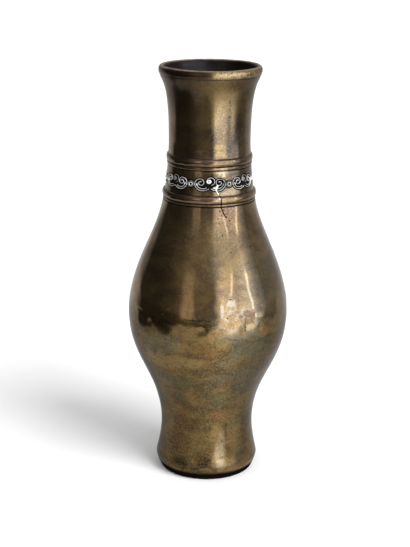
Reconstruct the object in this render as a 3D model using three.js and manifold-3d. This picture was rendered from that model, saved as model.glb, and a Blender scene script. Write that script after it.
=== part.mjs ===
// Cast bronze flower vase with a collar of silver wire inlay.
// Millimetres, +Z up, origin at the middle of the base, front of the vase towards -Y.
// Four castings stack on one axis: base plate, body, collar and neck. The neck's spigot
// passes through the collar into the body, and traps the collar between two rings.
import * as THREE from "three";
import { mergeVertices } from "three/addons/utils/BufferGeometryUtils.js";
import Module from "manifold-3d";

// Fits between pieces
const fitGap = 0.3; // round a piece that slides into another
const seamGap = 0.3; // between two faces that are soldered

// Base plate
const flangeThickness = 1.2;
const flangeStep = 0.35; // how far the flange stands back from the foot's edge
const plugHeight = 4.5; // reach of the plate into the foot
const dishMargin = 4.6; // width of the ring that the vase stands on
const dishDepth = 0.7;
const plateBreak = 0.4; // broken edges of the plate

// Body
const bodyHeight = 173;
const bodyWall = 3.2;
const footRadius = 32.05; // widest place of the foot
const footRise = 6.4; // its height above the foot's lower edge
const footUndercut = 2.2; // how far the foot draws in at its lower edge
const footBevelHeight = 2.3;
const footBevelRun = 1.2;
const waistRadius = 28.85;
const waistRise = 27.4;
const bellyRadius = 49.42;
const bellyRise = 101.2;
const rimStep = 1.34; // the body's rim stands out this far past the collar's sleeve
const rimSlope = -0.17; // change of radius with height where the shoulder meets the rim
const throatSlope = -0.5; // the same inside, below the spigot's socket

// Neck
const neckBore = 21;
const neckWall = 3.64; // at the narrowest place
const neckHeight = 58.9; // from the ring's underside to the lip
const neckWaistRise = 12.7;
const neckShoulder = 0.3; // the neck is this much wider just above its ring
const spigotWall = 2.4;
const spigotDepth = 8; // reach of the spigot into the body
const spigotBreak = 0.6;
const mouthRadius = 31;
const lipThickness = 3.4;
const lipHeight = 2.7; // from the widest place of the lip to its top
const lipUnder = 45; // degrees of the lip's round below its widest place
const flareSlope = 0.3; // change of radius with height where the neck meets the lip

// Fullness of the outline's curves: handles at their two ends, in shares of a curve's height
const footCurve = { first: 0.05, last: 0.43 };
const bellyCurve = { first: 0.45, last: 0.42 };
const shoulderCurve = { first: 0.39, last: 0.32 };
const flareCurve = { first: 0.86, last: 0.16 };

// Collar and the two ring mouldings
const collarHeight = 21;
const collarWall = 1.7; // sleeve at its upper end
const collarFlare = 1.5; // growth in radius down the sleeve
const upperBead = { base: -0.3, proud: 1, height: 4.6 };
const upperFillet = { base: -0.05, proud: 0.4, height: 2 };
const lowerBead = { base: 0.45, proud: 1.25, height: 4.7 };
const lowerFillet = { base: 0.85, proud: 0.45, height: 1.5 };

// Silver wire
const wireWidth = 0.52;
const wireHeight = 0.65;
const wireProud = 0.2; // stands out of the collar's surface
const groundMargin = 0.36; // sunk ground that shows round the wires
const inlayDrop = 0.35; // the motif sits this far below the middle of its zone

// Scroll motif, in shares of its pitch round the collar and in degrees
const motifCount = 7;
const motifTurn = 1; // turn of the first motif from the front
const motifSquash = 0.92; // height of the motif against its width
const curlOffset = 0.246;
const curlRise = 0.057;
const curlRadius = 0.0914;
const curlTightening = 0.72; // share of the curl's radius that is lost at its inner end
const tightenFrom = 350; // sweep at which the curl begins to tighten
const tightenTo = 560;
const scrollSweep = 655;
const tailStart = -37;
const tailReach = 0.187;
const tailSweep = 225; // stretch over which the tail runs into the curl
const tailPower = 1.4;
const fanSweep = 190; // stretch of the scroll that bounds the ground below it
const accentInset = 0.0574;
const accentFrom = 5;
const accentTo = 126;
const dropSwell = 0.01; // widening of the accent's end
const dropLength = 0.3; // share of the accent's length
const eyeShift = -0.03;
const eyeRise = 0.078;
const eyeRadius = 0.021;
const hoodShift = 0.018;
const hoodRise = 0.085;
const hoodRadius = 0.101;
const hoodFrom = 200; // sweep at which the eye's wire leaves its ring
const hoodTo = 335; // sweep at which it has become the hood
const eyeSweep = 580;
const eyeStart = 140;
const spacerRadius = 0.08;
const spacerPitch = 0.036; // spacing of the two rings of a spacer

// Facets
const turnSegments = 6 * motifCount;
const scrollSteps = 22;
const scrollEase = 0.6; // shorter facets along the tail than in the curl
const accentSteps = 7;
const eyeSteps = 16;
const ringSteps = 10;
const coreSteps = 7;
const lobeSteps = 9;
const fanSteps = 8;

// Radii worked out from the bore of the neck outwards
const neckRadius = neckBore + neckWall;
const spigotRadius = neckBore + spigotWall;
const collarBore = spigotRadius + fitGap;
const collarTopRadius = collarBore + collarWall;
const collarFootRadius = collarTopRadius + collarFlare;
const rimRadius = collarFootRadius + rimStep;

// Radii of the foot and its plate
const footEdgeRadius = footRadius - footUndercut;
const footBore = waistRadius - bodyWall;
const flangeRadius = footEdgeRadius - flangeStep;
const plugRadius = footBore - fitGap;
const dishRadius = flangeRadius - dishMargin;

// Heights stacked from the base
const footZ = flangeThickness + seamGap;
const footWidestZ = footZ + footRise;
const waistZ = footZ + waistRise;
const bellyZ = footZ + bellyRise;
const rimZ = footZ + bodyHeight;
const socketZ = rimZ - spigotDepth;
const collarZ = rimZ + seamGap;
const collarTopZ = collarZ + collarHeight;
const sleeveZ = collarZ + lowerFillet.height + lowerBead.height; // lower end of the inlay zone
const ringZ = collarTopZ + seamGap;
const neckZ = ringZ + upperFillet.height + upperBead.height;
const neckWaistZ = ringZ + neckWaistRise;
const topZ = ringZ + neckHeight;
const lipZ = topZ - lipHeight;
const inlayZ = (sleeveZ + collarTopZ) / 2 - inlayDrop;

// Collar surface and the pitch of the motif on it
const sleeveTaper = collarFlare / (collarTopZ - sleeveZ);
const sleeveRadius = (z) => collarTopRadius + (collarTopZ - z) * sleeveTaper;
const inlayRadius = sleeveRadius(inlayZ);
const pitch = (2 * Math.PI * inlayRadius) / motifCount;
const groundDepth = wireHeight - wireProud + fitGap;

const wasm = await Module();
wasm.setup();

const bronze = { color: 0x7a6038, roughness: 0.32, metalness: 1 };
const darkBronze = { color: 0x3a2e20, roughness: 0.5, metalness: 1 };
const silver = { color: 0xd8d8d2, roughness: 0.25, metalness: 1 };

const radians = THREE.MathUtils.degToRad;
const at = (r, z) => new THREE.Vector2(r, z);

const vase = new THREE.Group();

function addPiece(name, geometry, finish) {
  const mesh = new THREE.Mesh(geometry, new THREE.MeshStandardMaterial(finish));
  mesh.name = name;
  vase.add(mesh);
}

// A closed outline of radius and height, turned about Z.
function turned(outline) {
  return new THREE.LatheGeometry(outline, turnSegments).rotateX(Math.PI / 2);
}

// A stretch of outline that leaves upright and arrives along a slope of radius against height.
function sweep(from, to, { first, last }, steps, slope = 0) {
  const rise = to.y - from.y;
  const out = at(from.x, from.y + first * rise);
  const back = at(to.x - slope * last * rise, to.y - last * rise);
  return new THREE.CubicBezierCurve(from, out, back, to).getPoints(steps);
}

// A half-round moulding that starts at height z.
function moulding(radius, z, { proud, height }, steps) {
  const half = height / 2;
  const turn = [-Math.PI / 2, Math.PI / 2];
  return new THREE.EllipseCurve(radius, z + half, proud, half, ...turn).getPoints(steps);
}

function basePlateOutline() {
  return [
    at(0, dishDepth),
    at(dishRadius, dishDepth),
    at(dishRadius + dishDepth, 0),
    at(flangeRadius - plateBreak, 0),
    at(flangeRadius, plateBreak),
    at(flangeRadius, flangeThickness),
    at(plugRadius, flangeThickness),
    at(plugRadius, flangeThickness + plugHeight - plateBreak),
    at(plugRadius - plateBreak, flangeThickness + plugHeight),
    at(0, flangeThickness + plugHeight),
  ];
}

function bodyOutline() {
  const foot = at(footRadius, footWidestZ);
  const waist = at(waistRadius, waistZ);
  const belly = at(bellyRadius, bellyZ);
  const rim = at(rimRadius, rimZ);
  const bevelTop = at(footEdgeRadius + footBevelRun, footZ + footBevelHeight);
  const footPull = at(footRadius, bevelTop.y + footBevelHeight);
  const footSide = new THREE.QuadraticBezierCurve(bevelTop, footPull, foot);
  const outside = [
    at(footBore, footZ),
    at(footEdgeRadius, footZ),
    ...footSide.getPoints(3),
    ...sweep(foot, waist, footCurve, 4).slice(1),
    ...sweep(waist, belly, bellyCurve, 7).slice(1),
    ...sweep(belly, rim, shoulderCurve, 7, rimSlope).slice(1),
  ];
  const hollowWaist = at(footBore, waistZ);
  const hollowBelly = at(bellyRadius - bodyWall, bellyZ);
  const socket = at(collarBore, socketZ);
  const inside = [
    ...sweep(hollowWaist, hollowBelly, bellyCurve, 4),
    ...sweep(hollowBelly, socket, shoulderCurve, 4, throatSlope).slice(1),
    at(collarBore, rimZ),
  ];
  return [...outside, ...inside.reverse(), at(footBore, footZ)];
}

function neckOutline() {
  const spigotZ = socketZ + fitGap;
  const lipRadius = lipThickness / 2;
  const lipCentre = mouthRadius - lipRadius;
  const round = [radians(-lipUnder), Math.PI];
  const lip = new THREE.EllipseCurve(lipCentre, lipZ, lipRadius, lipHeight, ...round).getPoints(5);
  const narrow = at(neckRadius, neckWaistZ);
  const flare = sweep(narrow, lip[0], flareCurve, 6, flareSlope);
  const throat = at(neckBore, neckWaistZ);
  const mouthEdge = at(lip[0].x - neckWall, lip[0].y);
  const mouth = sweep(throat, mouthEdge, flareCurve, 4, flareSlope);
  return [
    at(neckBore, spigotZ),
    at(spigotRadius - spigotBreak, spigotZ),
    at(spigotRadius, spigotZ + spigotBreak),
    at(spigotRadius, ringZ),
    ...moulding(collarTopRadius + upperFillet.base, ringZ, upperFillet, 2),
    ...moulding(collarTopRadius + upperBead.base, ringZ + upperFillet.height, upperBead, 4),
    at(neckRadius + neckShoulder, neckZ),
    ...flare,
    ...lip.slice(1),
    ...mouth.reverse(),
    at(neckBore, spigotZ),
  ];
}

function collarOutline() {
  return [
    at(collarBore, collarZ),
    ...moulding(collarFootRadius + lowerFillet.base, collarZ, lowerFillet, 2),
    ...moulding(collarFootRadius + lowerBead.base, collarZ + lowerFillet.height, lowerBead, 4),
    at(collarFootRadius, sleeveZ),
    at(collarTopRadius, collarTopZ),
    at(collarBore, collarTopZ),
    at(collarBore, collarZ),
  ];
}

// The motif is drawn flat, x along the collar and y up it from the middle of the inlay.
const curlCentre = at(-curlOffset * pitch, curlRise * pitch);
const eyeCentre = at(eyeShift * pitch, eyeRise * pitch);
const hoodCentre = at(hoodShift * pitch, hoodRise * pitch);
const spacerCentre = at(pitch / 2, 0);

const polar = (centre, radius, degrees) =>
  at(centre.x + radius * Math.cos(radians(degrees)), centre.y + radius * Math.sin(radians(degrees)));

// Radius of the scroll about its curl: a tail that runs in, then a curl that tightens.
function scrollRadius(sweepAngle) {
  const tightening = curlTightening * THREE.MathUtils.smoothstep(sweepAngle, tightenFrom, tightenTo);
  const tail = Math.max(0, 1 - sweepAngle / tailSweep) ** tailPower;
  return pitch * (curlRadius * (1 - tightening) + tailReach * tail);
}

const scrollPoint = (sweepAngle, inset = 0) =>
  polar(curlCentre, scrollRadius(sweepAngle) - inset, tailStart - sweepAngle);

// The eye's wire is a ring that opens into the hood round it.
function eyePoint(sweepAngle) {
  const opening = THREE.MathUtils.smoothstep(sweepAngle, hoodFrom, hoodTo);
  const radius = pitch * THREE.MathUtils.lerp(eyeRadius, hoodRadius, opening);
  const centre = eyeCentre.clone().lerp(hoodCentre, opening);
  return polar(centre, radius, eyeStart - sweepAngle);
}

// A ribbon of wire along a path, whose half width may change from its start to its end.
function ribbon(path, halfWidth, steps) {
  const slice = 1 / (8 * steps);
  const left = [];
  const right = [];
  for (let i = 0; i <= steps; i++) {
    const t = i / steps;
    const along = path(t + slice).sub(path(t - slice)).normalize();
    const across = at(-along.y, along.x).multiplyScalar(halfWidth(t));
    left.push(path(t).add(across));
    right.push(path(t).sub(across));
  }
  return new THREE.Shape([...left, ...right.reverse()]);
}

const plainWire = () => wireWidth / 2;

// The accent swells into a drop at its end.
function dropWire(t) {
  const intoDrop = THREE.MathUtils.clamp((t - 1 + dropLength) / dropLength, 0, 1);
  return wireWidth / 2 + dropSwell * pitch * Math.sin(Math.PI * intoDrop);
}

const circle = (centre, radius, steps) =>
  Array.from({ length: steps }, (_, i) => polar(centre, radius, (360 * i) / steps));

function ring(centre, radius, steps) {
  const shape = new THREE.Shape(circle(centre, radius + wireWidth / 2, steps));
  shape.holes.push(new THREE.Path(circle(centre, radius - wireWidth / 2, steps)));
  return shape;
}

const mirrored = (shape) => new THREE.Shape(shape.getPoints().map((p) => at(-p.x, p.y)));

// Bends a flat shape round the collar, from one height over the sunk ground to another.
function wrapped(shape, low, high, turn) {
  const geometry = new THREE.ExtrudeGeometry(shape, { depth: high - low, bevelEnabled: false });
  const position = geometry.getAttribute("position");
  for (let i = 0; i < position.count; i++) {
    const angle = position.getX(i) / inlayRadius + radians(turn);
    const z = inlayZ + motifSquash * position.getY(i);
    const r = sleeveRadius(z) - groundDepth + low + position.getZ(i);
    position.setXYZ(i, r * Math.sin(angle), -r * Math.cos(angle), z);
  }
  return geometry;
}

// Solids for the sunk ground
function solidOf(geometry) {
  const bare = geometry.clone();
  bare.deleteAttribute("normal");
  bare.deleteAttribute("uv");
  const merged = mergeVertices(bare, 1e-4);
  return new wasm.Manifold(
    new wasm.Mesh({
      numProp: 3,
      vertProperties: new Float32Array(merged.getAttribute("position").array),
      triVerts: new Uint32Array(merged.index.array),
    }),
  );
}

function geometryOf(solid) {
  const { vertProperties, triVerts } = solid.getMesh();
  const geometry = new THREE.BufferGeometry();
  geometry.setAttribute("position", new THREE.BufferAttribute(vertProperties, 3));
  geometry.setIndex(new THREE.BufferAttribute(triVerts, 1));
  geometry.computeVertexNormals();
  return geometry;
}

// Outlines of the sunk ground of one motif: it follows the wires at a small distance.
function groundShapes() {
  const reach = wireWidth / 2 + groundMargin;
  const tailEdge = [];
  for (let i = 0; i <= fanSteps; i++) tailEdge.push(scrollPoint((fanSweep * i) / fanSteps, -reach));
  const past = at(reach, tailEdge[0].y);
  const fan = new THREE.Shape([at(reach, eyeCentre.y), past, ...tailEdge, curlCentre]);
  const curlReach = pitch * curlRadius + reach;
  const curl = new THREE.Shape(circle(curlCentre, curlReach, lobeSteps));
  const eye = new THREE.Shape(circle(hoodCentre, pitch * hoodRadius + reach, lobeSteps));
  const spacer = new THREE.Shape(circle(spacerCentre, pitch * spacerRadius + reach, lobeSteps));
  return [fan, mirrored(fan), curl, mirrored(curl), eye, spacer];
}

function sunkCollar() {
  const deep = 2 * groundDepth; // the tools pass through the floor and the surface
  const floorOutline = [
    at(0, collarZ),
    at(sleeveRadius(collarZ) - groundDepth, collarZ),
    at(sleeveRadius(collarTopZ) - groundDepth, collarTopZ),
    at(0, collarTopZ),
  ];
  const shapes = groundShapes();
  let ground = null;
  for (let i = 0; i < motifCount; i++) {
    const turn = motifTurn + (360 * i) / motifCount;
    for (const shape of shapes) {
      const lobe = solidOf(wrapped(shape, -deep, deep, turn));
      ground = ground ? ground.add(lobe) : lobe;
    }
  }
  const sunk = ground.subtract(solidOf(turned(floorOutline)));
  return geometryOf(solidOf(turned(collarOutline())).subtract(sunk));
}

addPiece("base_plate", turned(basePlateOutline()), darkBronze);
addPiece("body", turned(bodyOutline()), bronze);
addPiece("inlay_collar", sunkCollar(), bronze);
addPiece("neck", turned(neckOutline()), bronze);

const accentPath = (t) =>
  scrollPoint(THREE.MathUtils.lerp(accentFrom, accentTo, t), accentInset * pitch);
const scrollAt = (t) => (scrollSweep * t * (1 + scrollEase * t)) / (1 + scrollEase);
const scroll = ribbon((t) => scrollPoint(scrollAt(t)), plainWire, scrollSteps);
const accent = ribbon(accentPath, dropWire, accentSteps);
const wires = {
  scroll_left: scroll,
  scroll_right: mirrored(scroll),
  accent_left: accent,
  accent_right: mirrored(accent),
  eye_curl: ribbon((t) => eyePoint(t * eyeSweep), plainWire, eyeSteps),
  spacer_ring: ring(spacerCentre, pitch * spacerRadius, ringSteps),
  spacer_core: ring(spacerCentre, pitch * (spacerRadius - spacerPitch), coreSteps),
};

for (let i = 0; i < motifCount; i++) {
  const turn = motifTurn + (360 * i) / motifCount;
  for (const [name, shape] of Object.entries(wires)) {
    addPiece(`${name}_${i + 1}`, wrapped(shape, fitGap, fitGap + wireHeight, turn), silver);
  }
}

export default vase;
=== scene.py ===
# Looks of a cast bronze flower vase with a collar of silver wire scrolls.
# Metres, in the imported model's own frame: +Z up, the front of the vase towards -Y.
import math
import random

import bpy
from mathutils import Matrix, Vector, noise


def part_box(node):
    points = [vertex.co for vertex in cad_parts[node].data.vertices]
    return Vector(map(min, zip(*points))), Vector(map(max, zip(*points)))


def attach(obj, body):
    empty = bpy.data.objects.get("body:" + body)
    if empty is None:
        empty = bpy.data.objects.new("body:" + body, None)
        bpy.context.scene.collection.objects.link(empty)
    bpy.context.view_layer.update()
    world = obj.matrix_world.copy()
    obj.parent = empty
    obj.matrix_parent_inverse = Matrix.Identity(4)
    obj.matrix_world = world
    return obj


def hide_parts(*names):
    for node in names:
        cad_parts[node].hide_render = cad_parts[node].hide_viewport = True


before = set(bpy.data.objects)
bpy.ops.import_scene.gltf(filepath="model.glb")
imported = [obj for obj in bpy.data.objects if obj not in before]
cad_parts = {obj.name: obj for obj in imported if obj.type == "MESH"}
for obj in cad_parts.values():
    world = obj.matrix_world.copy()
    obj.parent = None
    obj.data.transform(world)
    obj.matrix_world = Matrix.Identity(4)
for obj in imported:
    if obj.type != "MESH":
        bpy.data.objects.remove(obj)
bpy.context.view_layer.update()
mm = 0.001

# The castings' places, from the frame
bodyLow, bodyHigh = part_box("body")
neckLow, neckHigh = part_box("neck")
collarLow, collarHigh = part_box("inlay_collar")
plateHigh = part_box("base_plate")[1]
print("frame loaded:", len(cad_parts), "nodes")


# A socket, so that shader maths can be written as Python
class Signal:
    def __init__(self, tree, socket=None):
        self.tree = tree
        self.socket = socket

    # Any node: its type, its settings, then the values or links of its sockets
    def node(self, kind, settings=None, inputs=None, output=0):
        made = self.tree.nodes.new(kind)
        for name, value in (settings or {}).items():
            if name == "stops":
                self.setStops(made.color_ramp, value)
            else:
                setattr(made, name, value)
        for name, value in (inputs or {}).items():
            if isinstance(value, Signal):
                self.tree.links.new(value.socket, made.inputs[name])
            else:
                made.inputs[name].default_value = value
        return Signal(self.tree, made.outputs[output] if len(made.outputs) else None)

    def setStops(self, ramp, stops):
        while len(ramp.elements) < len(stops):
            ramp.elements.new(1.0)
        for element, (place, value) in zip(ramp.elements, stops):
            element.position = place
            element.color = (value, value, value, 1)

    def maths(self, operation, first, second=0.0):
        return self.node("ShaderNodeMath", {"operation": operation}, {0: first, 1: second})

    def __add__(self, other):
        return self.maths("ADD", self, other)

    def __radd__(self, other):
        return self.maths("ADD", other, self)

    def __sub__(self, other):
        return self.maths("SUBTRACT", self, other)

    def __rsub__(self, other):
        return self.maths("SUBTRACT", other, self)

    def __mul__(self, other):
        return self.maths("MULTIPLY", self, other)

    def __rmul__(self, other):
        return self.maths("MULTIPLY", other, self)

    def __truediv__(self, other):
        return self.maths("DIVIDE", self, other)

    def __gt__(self, other):
        return self.maths("GREATER_THAN", self, other)

    # 0 below low, 1 above high, with a soft change between
    def step(self, low, high):
        settings = {"interpolation_type": "SMOOTHSTEP", "clamp": True}
        return self.node("ShaderNodeMapRange", settings, {0: self, 1: low, 2: high})

    # 1 below low, 0 above high
    def fade(self, low, high):
        return 1 - self.step(low, high)

    # This signal as a mask that lays one colour over another
    def lay(self, under, over):
        settings = {"data_type": "RGBA", "clamp_factor": True}
        under = under if isinstance(under, Signal) else (*under, 1)
        over = over if isinstance(over, Signal) else (*over, 1)
        return self.node("ShaderNodeMix", settings, {0: self, 6: under, 7: over}, 2)

    def noise(self, scale, detail=4.0, roughness=0.55, distortion=0.0, offset=0.0):
        place = self
        if offset:
            move = {"operation": "ADD"}
            place = self.node("ShaderNodeVectorMath", move, {0: self, 1: (offset, 2 * offset, -offset)})
        inputs = {"Vector": place, "Scale": scale, "Detail": detail}
        inputs |= {"Roughness": roughness, "Distortion": distortion}
        return self.node("ShaderNodeTexNoise", {}, inputs)

    def part(self, axis):
        return self.node("ShaderNodeSeparateXYZ", {}, {0: self}, "XYZ".index(axis))

    # Degrees round the vase, from the front towards the right
    def degreesRound(self):
        return self.maths("ARCTAN2", self.part("X"), 0 - self.part("Y")) * (180 / math.pi)

    # Brightness by these degrees, from stops of degrees and brightness
    def byDegrees(self, stops):
        brightest = max(value for _, value in stops)
        shares = [((degrees + 180) / 360, value / brightest) for degrees, value in stops]
        ramp = self.node("ShaderNodeValToRGB", {"stops": shares}, {0: (self + 180) / 360})
        return ramp * brightest


def newMaterial(name):
    material = bpy.data.materials.new(name)
    material.use_nodes = True
    material.node_tree.nodes.clear()
    graph = Signal(material.node_tree)
    place = graph.node("ShaderNodeTexCoord", {}, {}, "Object")
    return material, graph, place


def setSurface(graph, inputs):
    shader = graph.node("ShaderNodeBsdfPrincipled", {}, inputs)
    graph.node("ShaderNodeOutputMaterial", {}, {"Surface": shader})


def setBump(graph, height, strength, distance):
    inputs = {"Height": height, "Strength": strength, "Distance": distance}
    return graph.node("ShaderNodeBump", {}, inputs)


# Worn bronze: brown and gold, with olive, grey-green and red-brown clouds lower down
bronzeLook = {
    "brown": (0.120, 0.075, 0.029),
    "gold": (0.260, 0.162, 0.057),
    "olive": (0.078, 0.066, 0.032),
    "greyGreen": (0.172, 0.156, 0.098),
    "bright": (0.370, 0.250, 0.100),
    "redBrown": (0.122, 0.060, 0.028),
    "copper": (0.225, 0.118, 0.045),
    "green": (0.090, 0.097, 0.045),
    "slate": (0.128, 0.116, 0.078),
    "dark": (0.040, 0.028, 0.016),
    "black": (0.005, 0.004, 0.003),
    "pale": (0.420, 0.320, 0.190),
    "glint": (0.340, 0.250, 0.120),
    "sage": (0.270, 0.240, 0.165),
    "rose": (0.235, 0.140, 0.098),
    "orange": (0.360, 0.190, 0.075),
    "white": (0.360, 0.315, 0.230),
    "mottled": (0.100, 0.118),  # heights in metres: the clouds fade out between these two
    "lipHighlightGold": (0.40, 0.29, 0.14),
    "lipShadeBrown": (0.055, 0.028, 0.018),
    "underLipShade": (0.2488, 0.2498),  # painted shade: a dark line runs under the lip
    "lip": (0.2498, 0.2506),
    "flare": (0.222, 0.240),  # the flare of the mouth has a darker skin, laid thinner on the lit side as painted shade
    # the lip's top edge, laid lighter: partly a worn edge, partly a painted highlight
    "edge": (0.2540, 0.2547),
    "sleeveFoot": (0.1812, 0.1822),
    "sleeveTop": (0.1938, 0.1948),
    "footUnderShade": (0.0036, 0.0064),
    "edgeHighlight": (0.40, 0.33, 0.25),
    "roughness": 0.035,
    "coat": 0.6,
    "coatRoughness": 0.04,
}
# Clouds seen on the front, mostly patina, some of them painted highlights and painted shade: turn in
# degrees and height in millimetres, their halves, shade and strength
stainsAndPaintedLight = [
    (-28.7, 94.6, 13, 6.5, "greyGreen", 0.9), (-45, 90, 12, 8, "greyGreen", 0.6),
    (-8.6, 94.8, 12, 6, "gold", 0.8), (-1, 91.5, 8, 5, "copper", 0.9), (11.4, 99, 9, 6, "bright", 0.8),
    (25, 93, 10, 9, "greyGreen", 0.95), (38, 91, 11, 10, "greyGreen", 0.85),
    (44, 97, 8, 4, "olive", 0.5), (-34, 82, 22, 5.5, "bright", 0.75),
    (-8, 82, 12, 5, "bright", 0.7), (3, 83, 7, 4, "redBrown", 0.5), (17, 84, 9, 4, "greyGreen", 0.6),
    (0.7, 76.8, 18, 4, "olive", 0.8), (29, 75, 16, 6, "slate", 0.7), (-24, 75, 14, 4, "gold", 0.6),
    (-23.4, 67.9, 16, 5, "green", 0.8), (15, 67.6, 9, 5, "redBrown", 0.55), (35, 62, 14, 9, "slate", 0.5),
    (10.6, 55.2, 12, 7, "green", 0.85), (-13.4, 54.8, 11, 5, "gold", 0.85),
    (-27.5, 56.4, 8, 5, "green", 0.7), (13.5, 42.9, 16, 4, "copper", 0.8),
    (-27, 37.3, 20, 7, "redBrown", 0.85), (11.9, 31.1, 8, 7, "bright", 0.6),
    # (3, 16) brown is painted shade beside the foot's highlight
    (-39, 23.5, 15, 7, "redBrown", 0.8), (-12.4, 19.7, 12, 8, "gold", 0.5), (3, 16, 8, 9, "brown", 0.85),
    # (17.5, 18) pale is a painted highlight on the foot
    (17.5, 18, 6, 13, "pale", 0.95), (36, 30, 12, 15, "bright", 0.55), (47, 14, 10, 9, "slate", 0.5),
    # (-12, 211) dark is painted shade over the neck's reflections
    (-34, 10, 16, 5, "brown", 0.6), (45, 46, 14, 8, "gold", 0.4), (-12, 211, 24, 11, "dark", 0.5),
    # (33, 209) dark is painted shade over the neck's bright reflection
    (33, 209, 11, 9, "dark", 0.9), (-8, 231, 22, 9, "gold", 0.6), (20, 101, 13, 5, "sage", 0.75),
    (36, 101, 11, 5, "sage", 0.65), (45, 101.5, 6, 3.5, "orange", 0.95), (46, 130, 20, 24, "sage", 0.3),
    (-8, 178.6, 24, 3, "rose", 0.75), (-12, 201.4, 22, 3.4, "rose", 0.6), (15, 201.4, 7, 3, "dark", 0.5),
    (15.5, 195, 8, 2.2, "pale", 0.75), (28, 184, 14, 3, "pale", 0.35), (-13, 183.5, 12, 3, "dark", 0.5),
    # (-12, 8.5) dark is painted shade along the foot's lower edge
    (-14, 121, 4.5, 13, "copper", 0.65), (33, 9, 4, 4, "rose", 0.6), (-12, 8.5, 32, 5.5, "dark", 0.9),
    (-8, 16.5, 14, 6, "redBrown", 0.8), (-1, 26, 5, 5, "brown", 0.5), (-1, 66.5, 12, 4, "olive", 0.7),
    (11, 71, 9, 5.5, "slate", 0.6), (-1, 89, 6, 6, "redBrown", 0.5), (-6, 103, 20, 4.5, "bright", 0.55),
    (-21, 92, 7, 5, "bright", 0.4), (34, 44, 8, 4, "gold", 0.6), (-17, 45, 8, 4, "gold", 0.6),
    # (4, 210) dark is painted shade on the neck; (1, 10) dark is painted shade on the foot's lower edge
    (4, 210, 6, 8, "dark", 0.4), (1, 10, 10, 4.5, "dark", 0.8),
]
# Small sharper marks, in the same terms: the white and pale ones are painted highlights, the thin black
# line is a painted reflection edge and the long dark one on the neck is painted shade; the brown, red-brown
# and short dark ones are marks on the metal
marksAndHighlights = [
    (10.0, 116.5, 1.6, 4.0, "white", 0.5),
    (16.5, 121.0, 4.0, 2.2, "white", 0.5),
    (30.0, 110.5, 6.0, 4.5, "brown", 0.75),
    (29.6, 114.0, 7.0, 2.4, "redBrown", 1.0),
    (30.5, 105.5, 5.0, 2.0, "pale", 0.6),
    (36.3, 108.0, 1.4, 6.0, "white", 0.9),
    (26.8, 105.6, 0.7, 4.0, "dark", 0.9),
    (-8.6, 111.2, 11.5, 0.45, "black", 0.9),
    (27.0, 222.0, 3.0, 19.0, "dark", 0.85),
]
# A rubbed area of the belly, bare in some patches and coppery in others; its white bare patches are painted
# highlights
rubbedAndHighlit = {"turn": 22, "height": 111, "halfTurn": 17, "halfHeight": 11}
# Painted shade in the corners of the rings, partly grime: heights and halves
cornerGrimeAndShade = [(174.6, 0.8), (176.5, 0.9), (181.0, 0.8), (195.7, 0.8), (198.1, 0.9), (202.5, 0.8)]


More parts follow.
